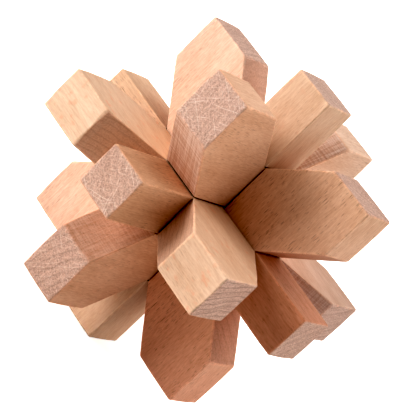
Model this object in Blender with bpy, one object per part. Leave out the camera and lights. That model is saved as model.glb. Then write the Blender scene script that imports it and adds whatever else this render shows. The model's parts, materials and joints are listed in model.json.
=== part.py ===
"""Wooden burr puzzle: three crossed square sticks locked by six two-horned side sticks.

The origin is where the three square sticks cross. X runs along the cross stick, Z along the
upright stick, and the key stick runs along Y with its head towards -Y, which is the front.
Each horned stick lies beside one end of two square sticks, and its two horns point diagonally
outwards, so the closed puzzle is a star of six straight arms and twelve diagonal ones.

Everything is laid out on the square sticks' own faces:
HALF is a stick's side face, NOTCH the bottom of a horned stick's notch, TIP the end of a horn.
"""

import bmesh
import bpy
from mathutils import Matrix, Vector

# Driving dimensions, in metres.
STICK_THICKNESS = 0.0120
BRIDGE_DEPTH = 0.0132
HORN_LENGTH = 0.0122
STICK_LENGTH = 0.0792
FIT_GAP = 0.0003
TAB_DEPTH = 0.0040
TAB_WIDTH = 0.0044
TAB_LENGTH = 0.0080

HALF = STICK_THICKNESS / 2
NOTCH = HALF + BRIDGE_DEPTH
TIP = NOTCH + HORN_LENGTH
KNEE = HALF + HORN_LENGTH
END = STICK_LENGTH / 2
EASE = FIT_GAP / 2
TAB_MIDDLE = HALF + BRIDGE_DEPTH / 2
TAB_STOP = TAB_LENGTH - HALF
BEYOND = 2 * STICK_LENGTH

# Wood colours (linear RGB) and finish, one per stick.
BEECH = {
    "key_stick": (0.66, 0.46, 0.30),
    "upright_stick": (0.62, 0.42, 0.27),
    "cross_stick": (0.60, 0.40, 0.25),
    "front_horned_stick": (0.64, 0.44, 0.29),
    "back_horned_stick": (0.61, 0.41, 0.26),
    "top_horned_stick": (0.65, 0.46, 0.31),
    "bottom_horned_stick": (0.59, 0.39, 0.25),
    "left_horned_stick": (0.62, 0.43, 0.28),
    "right_horned_stick": (0.63, 0.42, 0.27),
}
WOOD_ROUGHNESS = 0.55


def clear_scene():
    for obj in list(bpy.data.objects):
        bpy.data.objects.remove(obj, do_unlink=True)


def wood(name):
    material = bpy.data.materials.new(name + "_beech")
    material.use_nodes = True
    shader = material.node_tree.nodes["Principled BSDF"]
    shader.inputs["Base Color"].default_value = (*BEECH[name], 1.0)
    shader.inputs["Roughness"].default_value = WOOD_ROUGHNESS
    shader.inputs["Metallic"].default_value = 0.0
    return material


def new_object(name, shape):
    """Turns a bmesh into an object whose origin is the puzzle's centre."""
    bmesh.ops.recalc_face_normals(shape, faces=shape.faces)
    mesh = bpy.data.meshes.new(name)
    shape.to_mesh(mesh)
    shape.free()
    obj = bpy.data.objects.new(name, mesh)
    bpy.context.scene.collection.objects.link(obj)
    return obj


def block(low, high):
    """A box between two corners."""
    low, high = Vector(low), Vector(high)
    shape = bmesh.new()
    bmesh.ops.create_cube(shape, size=1.0)
    bmesh.ops.scale(shape, vec=high - low, verts=shape.verts)
    bmesh.ops.translate(shape, vec=(low + high) / 2, verts=shape.verts)
    return shape


def horned_profile():
    """A horned stick's outline: x along the stick, y outwards from the puzzle's centre."""
    inner_corner = (NOTCH + EASE, HALF + EASE)
    notch_corner = (HALF - EASE, NOTCH - EASE)
    right = [inner_corner, (TIP, KNEE), (TIP, TIP), (KNEE, TIP), notch_corner]
    left = [(-x, y) for x, y in reversed(right)]
    return right + left


def horned_blank():
    """The outline extruded to the stick's thickness, before its laps are cut."""
    shape = bmesh.new()
    thickness = STICK_THICKNESS - FIT_GAP
    corners = [shape.verts.new((x, y, -thickness / 2)) for x, y in horned_profile()]
    face = shape.faces.new(corners)
    extruded = bmesh.ops.extrude_face_region(shape, geom=[face])
    top = [item for item in extruded["geom"] if isinstance(item, bmesh.types.BMVert)]
    bmesh.ops.translate(shape, vec=(0, 0, thickness), verts=top)
    return shape


def combine(obj, label, low, high, operation):
    """Cuts a box out of a stick, or joins one to it, in the stick's own axes."""
    tool = new_object(obj.name + "_" + label, block(low, high))
    tool.parent = obj
    tool.hide_render = True
    tool.display_type = "WIRE"
    modifier = obj.modifiers.new(label, "BOOLEAN")
    modifier.operation = operation
    modifier.solver = "EXACT"
    modifier.object = tool


def place(obj, along, outwards):
    """Turns a stick so that its x runs along one world axis and its y along another."""
    along, outwards = Vector(along), Vector(outwards)
    turn = Matrix((along, outwards, along.cross(outwards))).transposed()
    obj.matrix_world = turn.to_4x4()


def square_stick(name, along, outwards):
    """A full-length square stick along its local x."""
    side = HALF - EASE
    obj = new_object(name, block((-END, -side, -side), (END, side, side)))
    obj.data.materials.append(wood(name))
    place(obj, along, outwards)
    return obj


def cut_stick(obj, reach, quarter_reach):
    """Thins a square stick to half its section, then to a quarter.

    It keeps y > 0 between the two ends in reach, and y > 0 with z > 0 in quarter_reach.
    """
    start, end = reach
    combine(obj, "half_lap", (start, -BEYOND, -BEYOND), (end, EASE, BEYOND), "DIFFERENCE")
    start, end = quarter_reach
    combine(obj, "quarter_lap", (start, -BEYOND, -BEYOND), (end, BEYOND, EASE), "DIFFERENCE")


def core_stick(name, along, outwards):
    """A square stick that is half a stick thick beside the centre and a quarter in it."""
    obj = square_stick(name, along, outwards)
    cut_stick(obj, (-NOTCH - EASE, NOTCH + EASE), (-HALF - EASE, HALF + EASE))
    return obj


def key_stick():
    """The key: a full head in front, a half neck, and a quarter tail right to the back."""
    obj = square_stick("key_stick", (0, -1, 0), (0, 0, -1))
    cut_stick(obj, (-BEYOND, NOTCH + EASE), (-BEYOND, HALF + EASE))
    return obj


def horned_stick(name, along, outwards):
    """A horned stick before its lap is cut; it lies on its neighbours at y = HALF."""
    obj = new_object(name, horned_blank())
    obj.data.materials.append(wood(name))
    place(obj, along, outwards)
    return obj


def half_bridge(obj):
    """Leaves only the z > 0 half of the stick between its horns."""
    low = (-HALF - EASE, -BEYOND, -BEYOND)
    high = (HALF + EASE, BEYOND, EASE)
    combine(obj, "bridge_lap", low, high, "DIFFERENCE")


def tab_groove(obj, side):
    """A blind groove in the inner face, in which one of the back stick's tabs runs."""
    middle = side * TAB_MIDDLE
    reach = TAB_WIDTH / 2 + EASE
    low = (middle - reach, -BEYOND, -BEYOND)
    high = (middle + reach, HALF + TAB_DEPTH + EASE, TAB_STOP + EASE)
    combine(obj, "tab_groove", low, high, "DIFFERENCE")


def back_stick():
    """The back horned stick: it carries the back arm, and a tab on either side locks it."""
    obj = horned_stick("back_horned_stick", (1, 0, 0), (0, 1, 0))
    side = HALF - EASE
    combine(obj, "back_arm", (-side, TAB_MIDDLE, -side), (side, END, side), "UNION")
    width = TAB_WIDTH / 2 - EASE
    reach = HALF + TAB_DEPTH - EASE
    low = (-side, TAB_MIDDLE - width, -reach)
    high = (TAB_STOP - EASE, TAB_MIDDLE + width, reach)
    combine(obj, "tabs", low, high, "UNION")
    low = (-EASE, -BEYOND, -HALF - EASE)
    combine(obj, "key_channel", low, (HALF + EASE, BEYOND, EASE), "DIFFERENCE")
    return obj


def build():
    clear_scene()
    key_stick()
    core_stick("upright_stick", (0, 0, 1), (-1, 0, 0))
    core_stick("cross_stick", (1, 0, 0), (0, 1, 0))
    half_bridge(horned_stick("front_horned_stick", (-1, 0, 0), (0, -1, 0)))
    half_bridge(horned_stick("right_horned_stick", (0, 0, -1), (1, 0, 0)))
    half_bridge(horned_stick("left_horned_stick", (0, 0, 1), (-1, 0, 0)))
    top = horned_stick("top_horned_stick", (0, 1, 0), (0, 0, 1))
    half_bridge(top)
    tab_groove(top, 1)
    bottom = horned_stick("bottom_horned_stick", (0, -1, 0), (0, 0, -1))
    half_bridge(bottom)
    tab_groove(bottom, -1)
    back_stick()


build()
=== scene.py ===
"""Looks of the wooden burr puzzle: every stick as a finely edged piece of bare beech."""

import json
import math

import bmesh
import bpy
from mathutils import Euler, Matrix, Vector, noise

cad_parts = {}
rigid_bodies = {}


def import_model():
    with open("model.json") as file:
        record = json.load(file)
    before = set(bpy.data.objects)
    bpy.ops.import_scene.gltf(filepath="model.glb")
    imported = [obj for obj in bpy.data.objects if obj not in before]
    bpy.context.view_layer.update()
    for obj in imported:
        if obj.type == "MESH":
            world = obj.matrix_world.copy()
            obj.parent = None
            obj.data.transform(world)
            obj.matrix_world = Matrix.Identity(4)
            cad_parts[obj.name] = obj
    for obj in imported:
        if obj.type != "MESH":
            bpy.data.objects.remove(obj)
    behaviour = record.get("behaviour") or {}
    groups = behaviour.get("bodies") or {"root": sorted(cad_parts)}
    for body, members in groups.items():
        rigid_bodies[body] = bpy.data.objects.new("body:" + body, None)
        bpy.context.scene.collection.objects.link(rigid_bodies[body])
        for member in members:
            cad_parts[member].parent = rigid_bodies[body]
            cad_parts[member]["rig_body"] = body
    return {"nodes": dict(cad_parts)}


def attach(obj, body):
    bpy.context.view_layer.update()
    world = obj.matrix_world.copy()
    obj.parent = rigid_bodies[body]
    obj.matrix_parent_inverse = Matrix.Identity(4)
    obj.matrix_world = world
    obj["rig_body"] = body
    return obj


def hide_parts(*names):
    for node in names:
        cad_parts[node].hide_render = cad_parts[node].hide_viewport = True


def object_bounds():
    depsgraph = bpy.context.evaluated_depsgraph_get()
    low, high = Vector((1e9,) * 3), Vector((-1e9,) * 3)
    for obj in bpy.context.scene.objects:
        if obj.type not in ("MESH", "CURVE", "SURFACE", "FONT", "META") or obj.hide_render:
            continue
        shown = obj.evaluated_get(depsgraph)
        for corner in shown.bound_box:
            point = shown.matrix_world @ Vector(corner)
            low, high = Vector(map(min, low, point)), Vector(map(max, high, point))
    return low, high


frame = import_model()
cad_box = [list(corner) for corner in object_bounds()]

MM = 0.001

# Edges: width of the sanded round, how far it varies, how much wider it gets towards a corner
# and from how far away, and the spacing of its wear.
EDGE_ROUND = 0.30 * MM
EDGE_WEAR = 0.13 * MM
CORNER_WEAR = 0.50 * MM
CORNER_REACH = 1.8 * MM
WEAR_SPACING = 1.8 * MM
WIDEST_ROUND = EDGE_ROUND + EDGE_WEAR + CORNER_WEAR
ROUND_STEPS = 4

# Joining a CAD mesh up: corners this close are one, and faces this nearly in line are one. An edge
# counts as sharp from the last angle on.
SAME_PLACE = 0.002 * MM
SAME_PLANE = math.radians(1)
SHARP_FROM = math.radians(20)

# Each stick has its own part of the noise, its number times these steps away from the others'.
WEAR_STEPS = (7.3, 3.1, 5.7)
WOOD_STEPS = (37.0, 5.0, 11.0)

# The joints shelter the edges near the puzzle's centre: up to the first distance they keep this
# share of the round and no wear, from the second one on they have all of it.
SHELTERED_TO = 20.0 * MM
EXPOSED_FROM = 28.0 * MM
SHELTERED_SHARE = 0.35

# Each stick's wood: the axis its grain runs along; its tint, partly its own tone and partly
# painted shade, warmer and darker on the sticks that lie in shade and paler on the lit ones; how
# that tint changes per centimetre along that axis, a painted shade that is darker and redder
# towards one end;
# where its pith lies, in millimetres, on the two axes across the grain; how far apart and how
# clear its growth rings are; how strong its dark flecks and orange blots are; how pale the saw
# left its diagonal faces; and how scratched its ends are.
STICKS = {
    "key_stick": dict(
        grain="Y", tint=(1.02, 0.98, 0.95), drift=(0.0, 0.0, 0.0),
        pith=(40, 30), rings=(2.6, 0.15), flecks=0.85,
        blots=0.1, sawn=0.8, scratched=1.0,
    ),
    "upright_stick": dict(
        grain="Z", tint=(1.05, 1.14, 1.2), drift=(0.0, 0.0, 0.0),
        pith=(-18, 44), rings=(2.4, 0.3), flecks=0.4,
        blots=0.3, sawn=0.8, scratched=0.5,
    ),
    "cross_stick": dict(
        grain="X", tint=(0.94, 0.89, 0.88), drift=(-0.02, -0.052, -0.06),
        pith=(30, -40), rings=(1.9, 0.5), flecks=1.0,
        blots=0.1, sawn=0.8, scratched=0.4,
    ),
    "front_horned_stick": dict(
        grain="X", tint=(1.08, 1.17, 1.23), drift=(0.0, -0.008, -0.012),
        pith=(-16, -46), rings=(1.5, 0.8), flecks=0.2,
        blots=1.0, sawn=0.2, scratched=0.2,
    ),
    "back_horned_stick": dict(
        grain="X", tint=(0.93, 0.98, 1.08), drift=(0.0, 0.0, 0.0),
        pith=(10, 52), rings=(2.2, 0.4), flecks=0.5,
        blots=0.2, sawn=1.1, scratched=0.5,
    ),
    "top_horned_stick": dict(
        grain="Y", tint=(1.06, 1.09, 1.14), drift=(0.0, 0.015, 0.03),
        pith=(30, 54), rings=(1.6, 0.2), flecks=0.6,
        blots=0.1, sawn=1.5, scratched=1.0,
    ),
    "bottom_horned_stick": dict(
        grain="Y", tint=(1.0, 0.96, 0.96), drift=(0.0, 0.0, 0.0),
        pith=(-36, 28), rings=(2.0, 0.5), flecks=0.7,
        blots=0.2, sawn=0.8, scratched=0.8,
    ),
    "left_horned_stick": dict(
        grain="Z", tint=(1.12, 1.2, 1.33), drift=(0.0, 0.0, 0.0),
        pith=(52, 14), rings=(2.3, 0.3), flecks=0.7,
        blots=0.2, sawn=0.1, scratched=0.15,
    ),
    "right_horned_stick": dict(
        grain="Z", tint=(1.02, 0.955, 0.965), drift=(0.008, 0.034, 0.038),
        pith=(-30, 46), rings=(2.1, 0.4), flecks=1.2,
        blots=0.1, sawn=0.15, scratched=0.5,
    ),
}


# ---------------------------------------------------------------- meshes

def joined_up(node):
    """A CAD node's mesh with its triangles joined back into flat faces."""
    shape = bmesh.new()
    shape.from_mesh(frame["nodes"][node].data)
    bmesh.ops.remove_doubles(shape, verts=shape.verts, dist=SAME_PLACE)
    bmesh.ops.dissolve_limit(
        shape, angle_limit=SAME_PLANE, verts=shape.verts, edges=shape.edges
    )
    return shape


def outer_edges(shape):
    """The sharp edges that stick out; inner corners stay as the saw left them."""
    shape.normal_update()
    return [e for e in shape.edges if e.is_convex and e.calc_face_angle(0) > SHARP_FROM]


def divide(shape):
    """Splits the long outer edges, so that their wear can vary along them."""
    for edge in outer_edges(shape):
        cuts = int(edge.calc_length() / WEAR_SPACING) - 1
        if cuts > 0:
            bmesh.ops.subdivide_edges(shape, edges=[edge], cuts=cuts)


def corners(shape):
    """The places where three or more outer edges meet."""
    outer = set(outer_edges(shape))
    return [v.co.copy() for v in shape.verts if len(outer.intersection(v.link_edges)) > 2]


def edge_width(place, corner_places, shift):
    """How wide the round is at one place on an edge."""
    nearest = min((place - corner).length for corner in corner_places)
    closeness = max(0.0, 1.0 - nearest / CORNER_REACH)
    uneven = noise.noise(place / WEAR_SPACING + shift)
    worn = EDGE_ROUND + EDGE_WEAR * uneven + CORNER_WEAR * closeness
    exposed = (place.length - SHELTERED_TO) / (EXPOSED_FROM - SHELTERED_TO)
    exposed = min(1.0, max(0.0, exposed))
    return exposed * worn + (1.0 - exposed) * SHELTERED_SHARE * EDGE_ROUND


def finished_mesh(node, seed):
    """The stick's mesh, with the width of the round marked on each piece of its outer edges."""
    shape = joined_up(node)
    corner_places = corners(shape)
    divide(shape)
    weight = shape.edges.layers.float.new("bevel_weight_edge")
    shift = Vector([seed * step for step in WEAR_STEPS])
    for edge in outer_edges(shape):
        middle = (edge.verts[0].co + edge.verts[1].co) / 2
        edge[weight] = edge_width(middle, corner_places, shift) / WIDEST_ROUND
    mesh = bpy.data.meshes.new(node + "_wood")
    shape.to_mesh(mesh)
    shape.free()
    return mesh


def stick(node, seed):
    """The piece for one CAD node: its mesh with the outer edges rounded."""
    piece = bpy.data.objects.new(node + "_wood", finished_mesh(node, seed))
    bpy.context.scene.collection.objects.link(piece)
    bevel = piece.modifiers.new("rounded edges", "BEVEL")
    bevel.width = WIDEST_ROUND
    bevel.segments = ROUND_STEPS
    bevel.limit_method = "WEIGHT"
    bevel.use_clamp_overlap = False
    return piece


# ---------------------------------------------------------------- wood

# Which frame axes are along and across the grain, in the order of the grain's own axes.
GRAIN_AXES = {"X": "XYZ", "Y": "YZX", "Z": "ZXY"}

# Linear colours of beech.
PALE_WOOD = (0.87, 0.63, 0.475)
DEEP_WOOD = (0.70, 0.445, 0.300)
RING_WOOD = (0.50, 0.29, 0.185)
FLECK_WOOD = (0.33, 0.15, 0.08)
BLOT_WOOD = (0.80, 0.40, 0.235)
DARK_END = (0.53, 0.335, 0.26)
PALE_END = (0.85, 0.64, 0.54)
SCRATCH_END = (1.0, 0.88, 0.80)
RING_END = (0.45, 0.27, 0.205)
DIAGONAL_TINT = (0.88, 0.82, 0.78)
PALE_CUT = (0.85, 0.67, 0.57)
RIM_WOOD = (0.74, 0.44, 0.27)

# How often each pattern repeats per millimetre: along the grain, then on the two axes across it.
FIBRES = (0.42, 3.2, 3.2)
CLOUDS = (0.07, 0.20, 0.20)
SPECKLE = (2.8, 2.8, 2.8)
PITH_WANDER = (0.02, 0.13, 0.13)
BOLD_FLECKS = (0.17, 2.4, 2.4)
FINE_FLECKS = (0.50, 3.8, 3.8)
FLECK_CROWDS = (0.05, 0.12, 0.12)
BLOTS = (0.42, 0.5, 0.5)
SLOPE_STREAKS = (0.09, 0.09, 2.9)
SAW_LINES = (2.6, 2.6, 0.10)
EDGE_PATCHES = (0.9, 0.9, 0.9)

# The same along the grain, away from the pith, and round it at the distance of the bark.
BARK_DISTANCE = 45.0
BANDS = (0.012, 1.25, 0.05)
END_STREAKS = (0.05, 2.3, 0.25)

# Long grain turns to end grain between these cosines of the angle from the grain.
LONG_TO_END = (0.42, 0.99)

# Growth rings: how far they wander in millimetres, and where in its width one darkens and ends.
WANDER_REACH = 0.8
RING_RISE = (0.66, 0.93)
RING_FALL = (1.0, 0.95)

# Flecks: their smallest size and how much they vary, as shares of their spacing; how much bigger
# they are in a crowd; how soft their outline is; and how strongly they show. The bold ones show in
# proportion to the stick's flecks, the fine ones by a fixed share and one in proportion to them.
BOLD_SIZES = (-0.08, 0.26)
FINE_SIZES = (0.00, 0.28)
FLECK_CROWDING = 0.12
FLECK_OUTLINE = (-0.04, 0.08)
BOLD_STRENGTH = 0.55
FINE_STRENGTH = (0.08, 0.28)

# Blots: the values of their noise between which one fades in.
BLOT_OUTLINE = (0.35, 1.0)

# How far each layer moves a long face from pale to deep wood, or an end from dark to pale.
SIDE_DEPTH = 0.40
SIDE_FIBRES = 0.30
SIDE_FLECKED_FIBRES = 0.18
SIDE_BANDS = 0.15
SIDE_CLOUDS = 0.24
END_LIGHT = 0.55
END_SPECKLE = 0.38
END_BANDS = 0.10
END_STREAKING = 0.12

# How strongly the marks on top of them show.
SIDE_RINGS = 0.10
SIDE_BLOTS = 0.40
END_RINGS = 0.65
END_SCRATCHES = 0.65
END_UNTINTED = 0.85

# Diagonal faces: how pale they get, how much the saw lines count beside the streaks, and the sums
# of both between which they turn pale.
CUT_PALENESS = 0.75
SAW_LINE_SHARE = 0.9
CUT_PALES = (-1.1, 1.3)

# Scratches on the ends run in rows: how wide a row is in millimetres, and how often and how far it
# bends. Each has one line: how near the row's side it may be and where it fades in, as shares of
# the row; how faint the faintest one is, and how rare the bold ones are.
HAIR_SPACING = 1.05
HAIR_BENDS = (0.14, 0.14, 0.14)
HAIR_BEND_REACH = 0.4
HAIR_MARGIN = 0.15
HAIR_WIDTH = (0.11, 0.03)
HAIR_FAINTEST = 0.25
HAIR_RARITY = 2.5

# Gaps in the scratches: how often they come, how far apart two rows are in their noise, and the
# value of it from which a line is whole. Then the rows' directions in radians, each with a shift
# that makes it different.
HAIR_GAPS = (0.25, 1.0, 1.0)
GAP_ROW_STEP = 9.7
GAP_SOFTNESS = 0.6
HAIR_DIRECTIONS = ((0.35, 3.0), (-0.75, 8.0), (1.1, 14.0), (2.0, 21.0))

# How quickly the scratches and the lack of tint fade beside an end.
SCRATCH_FADE = 4.0
UNTINTED_FADE = 3.0

# How far the three parts of a normal may be, in total, from those of a square or a diagonal face.
SQUARE_WITHIN = 0.010
DIAGONAL_WITHIN = 0.004

# Worn edges, lighter for their wear and as a painted highlight: how far beside an edge this
# reaches, how far the softened normal has turned where it is full, and how uneven that is; how
# worn the round itself is, and the values of the noise between which it is; how much lighter the
# worn, highlighted edges are; and round a sawn face, how orange it is and how much of an end a
# face has to be.
EDGE_REACH = 0.7 * MM
FULL_TURN = 0.14
TURN_UNEVEN = 0.03
ROUND_WEAR = 0.5
ROUND_PATCHES = (-0.7, 1.2)
EDGE_LIGHTER = 0.30
RIM_STRENGTH = 0.5
RIM_FROM = 0.5

# Painted shade in the joints: how near another stick has to be, the share of free directions from
# which a place is open, and the share of the light that is left where there is none.
JOINT_REACH = 0.9 * MM
OPEN_FROM = 0.6
JOINT_DARKEST = 0.42

# Surface: its roughness, and how much the fibres change it; its sheen; and the depth and strength
# of its relief, with the fibres' height as a share of the pores'.
ROUGHNESS = 0.58
FIBRE_ROUGHNESS = 0.05
SHEEN = 0.3
BUMP_DEPTH = 0.07 * MM
BUMP_STRENGTH = 0.6
FIBRE_HEIGHT = 0.35


class Graph:
    """Adds shader nodes to one material; each call returns the new node's output."""

    def __init__(self, name):
        self.material = bpy.data.materials.new(name)
        self.material.use_nodes = True
        self.tree = self.material.node_tree
        self.tree.nodes.clear()

    def node(self, kind, inputs=None, **settings):
        """A node with its settings, and its inputs set to a value or linked to an output."""
        item = self.tree.nodes.new(kind)
        for key, value in settings.items():
            setattr(item, key, value)
        for key, value in (inputs or {}).items():
            if isinstance(value, bpy.types.NodeSocket):
                self.tree.links.new(value, item.inputs[key])
            else:
                item.inputs[key].default_value = value
        return item

    def coordinate(self, name):
        return self.node("ShaderNodeTexCoord").outputs[name]

    def math(self, operation, *values):
        return self.node("ShaderNodeMath", dict(enumerate(values)), operation=operation).outputs[0]

    def vector(self, operation, *values):
        inputs = dict(enumerate(values))
        if operation == "SCALE":
            inputs = {"Vector": values[0], "Scale": values[1]}
        item = self.node("ShaderNodeVectorMath", inputs, operation=operation)
        return item.outputs["Value" if operation in ("LENGTH", "DOT_PRODUCT") else "Vector"]

    def split(self, vector):
        return self.node("ShaderNodeSeparateXYZ", {0: vector}).outputs

    def join(self, x, y, z):
        return self.node("ShaderNodeCombineXYZ", {0: x, 1: y, 2: z}).outputs[0]

    def noise(self, place, per_mm, detail=2.0, roughness=0.5):
        """Noise of about -1 to 1, with its own frequency along each axis."""
        stretched = self.vector("MULTIPLY", place, per_mm)
        inputs = {"Vector": stretched, "Scale": 1.0, "Detail": detail, "Roughness": roughness}
        value = self.node("ShaderNodeTexNoise", inputs).outputs[0]
        return self.math("MULTIPLY_ADD", value, 4.0, -2.0)

    def grains(self, place, per_mm):
        """Scattered centres: the distance to the nearest one, and its random number."""
        stretched = self.vector("MULTIPLY", place, per_mm)
        cells = self.node("ShaderNodeTexVoronoi", {"Vector": stretched, "Scale": 1.0})
        return cells.outputs["Distance"], self.split(cells.outputs["Color"])[0]

    def ramp(self, value, low, high):
        """A smooth 0 to 1 as the value goes from low to high."""
        inputs = {"Value": value, "From Min": low, "From Max": high}
        item = self.node("ShaderNodeMapRange", inputs, interpolation_type="SMOOTHSTEP")
        return item.outputs[0]

    def mix(self, share, first, second, blend="MIX"):
        """Two colours, each one an output or three numbers.

        A Mix node has its colours at inputs 6 and 7, and its result at output 2.
        """
        colours = {}
        for socket, colour in ((6, first), (7, second)):
            plain = isinstance(colour, tuple)
            colours[socket] = (*colour, 1.0) if plain else colour
        inputs = {0: share, **colours}
        item = self.node("ShaderNodeMix", inputs, data_type="RGBA", blend_type=blend)
        return item.outputs[2]


class Wood:
    """What every layer of one stick's look needs: its graph and its places in the wood."""

    def __init__(self, name, spec, seed):
        self.spec = spec
        self.graph = Graph(name)
        graph = self.graph
        frame_mm = graph.vector("MULTIPLY", graph.coordinate("Object"), (1000, 1000, 1000))
        axes = dict(zip("XYZ", graph.split(frame_mm)))
        along, first, second = (axes[letter] for letter in GRAIN_AXES[spec["grain"]])
        place = graph.join(along, first, second)
        shift = tuple(seed * step for step in WOOD_STEPS)
        self.along = along
        self.place = graph.vector("ADD", place, shift)
        self.rings_place = self.around_pith(along, first, second)
        self.end_share = self.cut_across()

    def around_pith(self, along, first, second):
        """The place as (along the grain, distance from the pith, way round the pith)."""
        graph = self.graph
        first = graph.math("SUBTRACT", first, float(self.spec["pith"][0]))
        second = graph.math("SUBTRACT", second, float(self.spec["pith"][1]))
        wander = graph.noise(self.place, PITH_WANDER, detail=3)
        radius = graph.vector("LENGTH", graph.join(0.0, first, second))
        radius = graph.math("MULTIPLY_ADD", wander, WANDER_REACH, radius)
        angle = graph.math("ARCTAN2", second, first)
        return graph.join(along, radius, graph.math("MULTIPLY", angle, BARK_DISTANCE))

    def cut_across(self):
        """0 on long grain, 1 on a face sawn square across it, half on a diagonal face."""
        axis = tuple(float(letter == self.spec["grain"]) for letter in "XYZ")
        dot = self.graph.vector("DOT_PRODUCT", self.graph.coordinate("Normal"), axis)
        return self.graph.ramp(self.graph.math("ABSOLUTE", dot), *LONG_TO_END)


def growth_rings(wood):
    """Thin dark lines of late wood."""
    graph = wood.graph
    width, strength = wood.spec["rings"]
    radius = graph.split(wood.rings_place)[1]
    phase = graph.math("FRACT", graph.math("DIVIDE", radius, width))
    rise = graph.ramp(phase, *RING_RISE)
    fall = graph.ramp(phase, *RING_FALL)
    line = graph.math("MULTIPLY", rise, fall)
    return graph.math("MULTIPLY", line, strength)


def dashes(wood, per_mm, sizes):
    """Scattered spots, drawn out along the grain; 1 inside a spot."""
    graph = wood.graph
    smallest, spread = sizes
    distance, chance = graph.grains(wood.place, per_mm)
    crowd = graph.noise(wood.place, FLECK_CROWDS, detail=1)
    size = graph.math("MULTIPLY_ADD", chance, spread, smallest)
    size = graph.math("MULTIPLY_ADD", crowd, FLECK_CROWDING, size)
    return graph.ramp(graph.math("SUBTRACT", size, distance), *FLECK_OUTLINE)


def flecks(wood):
    """The short dark dashes of beech's rays: a few bold ones among many fine ones."""
    graph = wood.graph
    amount = wood.spec["flecks"]
    least, more = FINE_STRENGTH
    bold = graph.math("MULTIPLY", dashes(wood, BOLD_FLECKS, BOLD_SIZES), BOLD_STRENGTH * amount)
    fine = graph.math("MULTIPLY", dashes(wood, FINE_FLECKS, FINE_SIZES), least + more * amount)
    return graph.math("MAXIMUM", bold, fine)


def blots(wood):
    """Faint soft orange patches of a millimetre or two."""
    graph = wood.graph
    patches = graph.ramp(graph.noise(wood.place, BLOTS, detail=2), *BLOT_OUTLINE)
    return graph.math("MULTIPLY", patches, wood.spec["blots"])


def hairlines(wood, across, turn, shift):
    """Hair-fine, nearly straight lines in one direction, unevenly spaced and with gaps."""
    graph = wood.graph
    inputs = {"Vector": across, "Angle": turn}
    turned = graph.node("ShaderNodeVectorRotate", inputs, rotation_type="Z_AXIS").outputs[0]
    turned = graph.vector("ADD", turned, (shift, shift, 0.0))
    along, sideways, _ = graph.split(turned)
    bend = graph.noise(turned, HAIR_BENDS, detail=1)
    sideways = graph.math("MULTIPLY_ADD", bend, HAIR_BEND_REACH, sideways)

    row = graph.math("DIVIDE", sideways, HAIR_SPACING)
    number = graph.math("FLOOR", row)
    chance = graph.node("ShaderNodeTexWhiteNoise", {"W": number}, noise_dimensions="1D")
    first, second, _ = graph.split(chance.outputs["Color"])
    middle = graph.math("MULTIPLY_ADD", first, 1.0 - 2 * HAIR_MARGIN, HAIR_MARGIN)
    apart = graph.math("ABSOLUTE", graph.math("SUBTRACT", graph.math("FRACT", row), middle))
    bold = graph.math("POWER", second, HAIR_RARITY)
    strength = graph.math("MULTIPLY_ADD", bold, 1.0 - HAIR_FAINTEST, HAIR_FAINTEST)
    line = graph.math("MULTIPLY", graph.ramp(apart, *HAIR_WIDTH), strength)

    gap_place = graph.join(along, graph.math("MULTIPLY", number, GAP_ROW_STEP), 0.0)
    gaps = graph.noise(gap_place, HAIR_GAPS, detail=1)
    return graph.math("MULTIPLY", line, graph.ramp(gaps, -GAP_SOFTNESS, GAP_SOFTNESS))


def scratches(wood):
    """Pale saw and sanding lines that cross each other on end grain."""
    graph = wood.graph
    _, first, second = graph.split(wood.place)
    across = graph.join(first, second, 0.0)
    total = 0.0
    for turn, shift in HAIR_DIRECTIONS:
        total = graph.math("ADD", hairlines(wood, across, turn, shift), total)
    total = graph.math("MINIMUM", total, 1.0)
    end_only = graph.math("POWER", wood.end_share, SCRATCH_FADE)
    strength = graph.math("MULTIPLY", end_only, wood.spec["scratched"])
    return graph.math("MULTIPLY", total, strength)


def long_grain(wood, rings, fibres, bands, marks):
    """Colour of a face along the grain: fine fibres over broad soft clouds, and dark flecks."""
    graph = wood.graph
    clouds = graph.noise(wood.place, CLOUDS, detail=3)
    fibre_depth = SIDE_FIBRES + SIDE_FLECKED_FIBRES * wood.spec["flecks"]
    depth = graph.math("MULTIPLY_ADD", fibres, fibre_depth, SIDE_DEPTH)
    depth = graph.math("MULTIPLY_ADD", bands, SIDE_BANDS, depth)
    depth = graph.math("MULTIPLY_ADD", clouds, SIDE_CLOUDS, depth)
    colour = graph.mix(graph.math("MAXIMUM", depth, 0.0), PALE_WOOD, DEEP_WOOD)
    colour = graph.mix(graph.math("MULTIPLY", rings, SIDE_RINGS), colour, RING_WOOD)
    colour = graph.mix(graph.math("MULTIPLY", blots(wood), SIDE_BLOTS), colour, BLOT_WOOD)
    return graph.mix(marks, colour, FLECK_WOOD)


def end_grain(wood, rings, speckle, bands, lines):
    """Colour of a sawn end: salt and pepper pores, rings, and pale scratches."""
    graph = wood.graph
    streaks = graph.noise(wood.rings_place, END_STREAKS, detail=2)
    light = graph.math("MULTIPLY_ADD", speckle, END_SPECKLE, END_LIGHT)
    light = graph.math("MULTIPLY_ADD", bands, END_BANDS, light)
    light = graph.math("MULTIPLY_ADD", streaks, END_STREAKING, light)
    colour = graph.mix(graph.ramp(light, 0.0, 1.0), DARK_END, PALE_END)
    colour = graph.mix(graph.math("MULTIPLY", rings, END_RINGS), colour, RING_END)
    return graph.mix(graph.math("MULTIPLY", lines, END_SCRATCHES), colour, SCRATCH_END)


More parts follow.
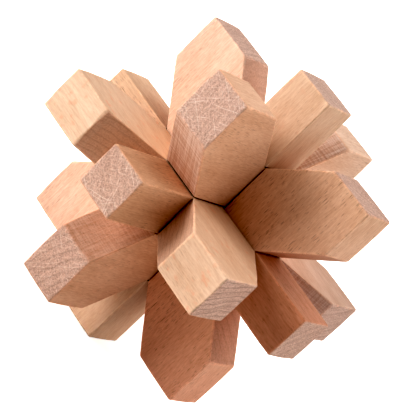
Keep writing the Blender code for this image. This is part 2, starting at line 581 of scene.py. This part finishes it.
def diagonal_cut(wood, colour, rounded):
    """A horn's diagonal faces: darker, with pale streaks down the slope and saw lines across.

    A rounded edge between a long face and an end slopes just as much, but hasn't this look.
    """
    graph = wood.graph
    streaks = graph.noise(wood.place, SLOPE_STREAKS, detail=2)
    saw_lines = graph.noise(wood.place, SAW_LINES, detail=1)
    both = graph.math("MULTIPLY_ADD", saw_lines, SAW_LINE_SHARE, streaks)
    paleness = min(CUT_PALENESS * wood.spec["sawn"], 1.0)
    pale = graph.math("MULTIPLY", graph.ramp(both, *CUT_PALES), paleness)
    darker = graph.mix(1.0, colour, DIAGONAL_TINT, "MULTIPLY")
    cut = graph.mix(pale, darker, PALE_CUT)
    share = graph.math("PINGPONG", graph.math("MULTIPLY", wood.end_share, 2.0), 1.0)
    share = graph.math("MULTIPLY", share, graph.math("SUBTRACT", 1.0, rounded))
    return graph.mix(share, colour, cut)


def rounded_share(wood):
    """1 on the rounded edges, whose facets look in none of the directions of the flat faces.

    The sizes of a normal's three parts add up to 1 on a square face, and to the root of 2 on a
    diagonal one.
    """
    graph = wood.graph
    inputs = {"Vector": graph.node("ShaderNodeNewGeometry").outputs["True Normal"]}
    spaces = {"vector_type": "NORMAL", "convert_from": "WORLD", "convert_to": "OBJECT"}
    normal = graph.node("ShaderNodeVectorTransform", inputs, **spaces).outputs[0]
    x, y, z = graph.split(graph.vector("ABSOLUTE", normal))
    total = graph.math("ADD", graph.math("ADD", x, y), z)
    square = graph.math("COMPARE", total, 1.0, SQUARE_WITHIN)
    diagonal = graph.math("COMPARE", total, math.sqrt(2), DIAGONAL_WITHIN)
    return graph.math("SUBTRACT", 1.0, graph.math("MAXIMUM", square, diagonal))


def edge_wear_and_highlight(wood, rounded):
    """How worn and lit the edges and corners are, real wear with a painted highlight: unevenly,
    and not at all near the puzzle's centre.
    """
    graph = wood.graph
    uneven = graph.noise(wood.place, EDGE_PATCHES, detail=2)

    # Beside an edge, a normal softened over EDGE_REACH turns away from the face's own.
    soft = graph.node("ShaderNodeBevel", {"Radius": EDGE_REACH}, samples=6).outputs[0]
    flat = graph.node("ShaderNodeNewGeometry").outputs["True Normal"]
    turn = graph.math("SUBTRACT", 1.0, graph.vector("DOT_PRODUCT", soft, flat))
    turn = graph.math("MULTIPLY_ADD", uneven, TURN_UNEVEN, turn)
    beside = graph.ramp(turn, 0.0, FULL_TURN)

    patches = graph.math("MULTIPLY", graph.ramp(uneven, *ROUND_PATCHES), ROUND_WEAR)
    on_round = graph.math("MULTIPLY", patches, rounded)
    from_centre = graph.vector("LENGTH", graph.coordinate("Object"))
    exposed = graph.ramp(from_centre, SHELTERED_TO, EXPOSED_FROM)
    return graph.math("MULTIPLY", graph.math("MAXIMUM", beside, on_round), exposed)


def painted_joint_shade(wood):
    """Painted shade in the joints: 1 on open faces, less in the narrow joints between sticks."""
    graph = wood.graph
    joint = {"Distance": JOINT_REACH}
    open_air = graph.node("ShaderNodeAmbientOcclusion", joint, samples=8).outputs["AO"]
    open_air = graph.ramp(open_air, 0.0, OPEN_FROM)
    return graph.math("MULTIPLY_ADD", open_air, 1 - JOINT_DARKEST, JOINT_DARKEST)


def tinted(wood, colour, worn):
    """The stick's tint, partly its own tone and partly painted shade, drifting along the grain
    into a painted shade at one end; worn edges with a painted highlight, and painted shade in the
    joints.

    Sawn ends hardly have the tint. Worn edges are lighter, partly from wear and partly as a
    painted highlight, and orange round a sawn face.
    """
    graph = wood.graph
    # Painted shade: the tint darkens and warms the sticks that lie in shade, and its drift one end
    # of a stick.
    per_mm = Vector(wood.spec["drift"]) / 10
    side = graph.math("SUBTRACT", 1.0, wood.end_share)
    drift = graph.vector("SCALE", tuple(per_mm), graph.math("MULTIPLY", side, wood.along))
    tint = graph.vector("ADD", drift, wood.spec["tint"])
    end_only = graph.math("POWER", wood.end_share, UNTINTED_FADE)
    tint = graph.mix(graph.math("MULTIPLY", end_only, END_UNTINTED), tint, (1.0, 1.0, 1.0))
    rim = graph.math("MULTIPLY", worn, graph.ramp(wood.end_share, 0.0, RIM_FROM))
    colour = graph.mix(graph.math("MULTIPLY", rim, RIM_STRENGTH), colour, RIM_WOOD)
    # Painted highlight on the edges, on top of their real wear: they are made lighter.
    light = graph.math("MULTIPLY_ADD", worn, EDGE_LIGHTER, 1.0)
    # Painted shade in the narrow joints between sticks.
    light = graph.math("MULTIPLY", light, painted_joint_shade(wood))
    return graph.vector("SCALE", graph.vector("MULTIPLY", colour, tint), light)


def relief(wood, fibres, pores, marks):
    """The finest relief: raised fibres, rough ends and sunken flecks."""
    graph = wood.graph
    rough_end = graph.math("MULTIPLY", wood.end_share, pores)
    height = graph.math("MULTIPLY_ADD", fibres, FIBRE_HEIGHT, rough_end)
    height = graph.math("SUBTRACT", height, marks)
    bump = {"Height": height, "Strength": BUMP_STRENGTH, "Distance": BUMP_DEPTH}
    return graph.node("ShaderNodeBump", bump).outputs[0]


def beech(name, spec, seed):
    """The whole look of one stick: its layers of colour, its roughness and its relief."""
    wood = Wood(name, spec, seed)
    graph = wood.graph
    rings = growth_rings(wood)
    fibres = graph.noise(wood.place, FIBRES, detail=3, roughness=0.7)
    bands = graph.noise(wood.rings_place, BANDS, detail=3, roughness=0.6)
    speckle = graph.noise(wood.place, SPECKLE, detail=2, roughness=0.75)
    lines = scratches(wood)
    marks = flecks(wood)
    side = long_grain(wood, rings, fibres, bands, marks)
    end = end_grain(wood, rings, speckle, bands, lines)
    colour = graph.mix(wood.end_share, side, end)
    rounded = rounded_share(wood)
    # worn marks the edges' real wear together with their painted highlight.
    worn = edge_wear_and_highlight(wood, rounded)
    colour = tinted(wood, diagonal_cut(wood, colour, rounded), worn)

    finish = {
        "Base Color": colour,
        "Roughness": graph.math("MULTIPLY_ADD", fibres, FIBRE_ROUGHNESS, ROUGHNESS),
        "Specular IOR Level": SHEEN,
        "Normal": relief(wood, fibres, graph.math("ADD", speckle, lines), marks),
    }
    surface = graph.node("ShaderNodeBsdfPrincipled", finish).outputs[0]
    graph.node("ShaderNodeOutputMaterial", {"Surface": surface})
    return graph.material


# One piece for each stick, on the stick's own body and in its own material slot.
for seed, (name, spec) in enumerate(STICKS.items(), start=1):
    piece = stick(name, seed)
    piece.data.materials.append(beech(name + "_beech", spec, seed))
    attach(piece, frame["nodes"][name]["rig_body"])
    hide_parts(name)


# ---------------------------------------------------------------- stage

# Camera: its angles in degrees, its place on its own axes, and its lens and film width.
CAMERA_AZIMUTH = 27.2
CAMERA_ELEVATION = 16.5
CAMERA_ROLL = 46.0
CAMERA_PLACE = Vector((0.7, 0.4, 390.0)) * MM
LENS = 146.4
FILM_WIDTH = 36

# Lights: how far away they stand, the way to each one from the puzzle, its size in metres, and
# its power in watts.
LIGHT_DISTANCE = 0.8
SOFTBOXES = {
    "left_softbox": dict(towards=Vector((-0.73, -0.66, 0.14)), size=0.62, power=7.3),
    "right_softbox": dict(towards=Vector((1.0, 0.35, -0.02)), size=0.50, power=1.3),
    "top_softbox": dict(towards=Vector((-0.10, 0.10, 1.0)), size=0.60, power=1.7),
}

# Surround: the way to its bright side, the cosines between which that fades in, and its weakest
# and strongest light.
SKY_TOWARDS = Vector((0.36, 0.85, 0.22))
SKY_FADE = (0.1, 0.9)
SKY_STRENGTH = (0.22, 1.45)

FLOOR_SIZE = 6.0
FLOOR_COLOUR = (0.92, 0.92, 0.92, 1)
FLOOR_ROUGHNESS = 0.8
FLOOR_GLOW = 0.6

# The photograph's tones: steeper than a plain render's, with deep shadows.
CONTRAST = 1.5
BLACK_LEVEL = 0.08
WHITE_LEVEL = 0.95


def camera():
    """A long lens that looks down at the puzzle and is turned on its side, as in the photo."""
    data = bpy.data.cameras.new("camera")
    data.lens = LENS
    data.sensor_width = FILM_WIDTH
    obj = bpy.data.objects.new("camera", data)
    bpy.context.scene.collection.objects.link(obj)
    turn = Euler((math.radians(90 - CAMERA_ELEVATION), 0, math.radians(CAMERA_AZIMUTH)))
    basis = turn.to_matrix() @ Matrix.Rotation(math.radians(CAMERA_ROLL), 3, "Z")
    obj.matrix_world = basis.to_4x4() @ Matrix.Translation(CAMERA_PLACE)
    bpy.context.scene.camera = obj


def softbox(name, towards, size, power):
    """A square light that looks at the puzzle, and that the camera doesn't see."""
    data = bpy.data.lights.new(name, "AREA")
    data.shape = "SQUARE"
    data.size = size
    data.energy = power
    obj = bpy.data.objects.new(name, data)
    bpy.context.scene.collection.objects.link(obj)
    obj.location = towards.normalized() * LIGHT_DISTANCE
    obj.rotation_euler = towards.to_track_quat("Z", "Y").to_euler()
    obj.visible_camera = False


def sky():
    """White light, strongest from behind the puzzle; the camera sees plain white."""
    world = bpy.data.worlds.new("studio")
    bpy.context.scene.world = world
    world.use_nodes = True
    tree = world.node_tree
    here = tree.nodes.new("ShaderNodeTexCoord")
    dot = tree.nodes.new("ShaderNodeVectorMath")
    dot.operation = "DOT_PRODUCT"
    tree.links.new(here.outputs["Generated"], dot.inputs[0])
    dot.inputs[1].default_value = SKY_TOWARDS.normalized()
    glow = tree.nodes.new("ShaderNodeMapRange")
    glow.interpolation_type = "SMOOTHSTEP"
    glow.inputs["From Min"].default_value, glow.inputs["From Max"].default_value = SKY_FADE
    glow.inputs["To Min"].default_value, glow.inputs["To Max"].default_value = SKY_STRENGTH
    tree.links.new(dot.outputs["Value"], glow.inputs["Value"])
    ray = tree.nodes.new("ShaderNodeLightPath")
    seen = tree.nodes.new("ShaderNodeMath")
    seen.operation = "MAXIMUM"
    tree.links.new(ray.outputs["Is Camera Ray"], seen.inputs[0])
    tree.links.new(glow.outputs[0], seen.inputs[1])
    background = tree.nodes["Background"]
    background.inputs["Color"].default_value = (1, 1, 1, 1)
    tree.links.new(seen.outputs[0], background.inputs["Strength"])


def floor():
    """A pale floor under the puzzle, white to the camera."""
    shape = bmesh.new()
    bmesh.ops.create_grid(shape, x_segments=1, y_segments=1, size=FLOOR_SIZE / 2)
    mesh = bpy.data.meshes.new("floor")
    shape.to_mesh(mesh)
    shape.free()
    obj = bpy.data.objects.new("floor", mesh)
    bpy.context.scene.collection.objects.link(obj)
    obj.location.z = cad_box[0][2]
    graph = Graph("pale_floor")
    seen = graph.node("ShaderNodeLightPath").outputs["Is Camera Ray"]
    finish = {
        "Base Color": FLOOR_COLOUR,
        "Roughness": FLOOR_ROUGHNESS,
        "Emission Color": (1, 1, 1, 1),
        "Emission Strength": graph.math("MULTIPLY", seen, FLOOR_GLOW),
    }
    surface = graph.node("ShaderNodeBsdfPrincipled", finish).outputs[0]
    graph.node("ShaderNodeOutputMaterial", {"Surface": surface})
    mesh.materials.append(graph.material)


def tones():
    """Steepens the view's tones."""
    view = bpy.context.scene.view_settings
    view.view_transform = "Standard"
    view.gamma = 1 / CONTRAST
    view.use_curve_mapping = True
    view.curve_mapping.black_level = (BLACK_LEVEL,) * 3
    view.curve_mapping.white_level = (WHITE_LEVEL,) * 3
    view.curve_mapping.update()


camera()
for name, light in SOFTBOXES.items():
    softbox(name, **light)
sky()
floor()
tones()
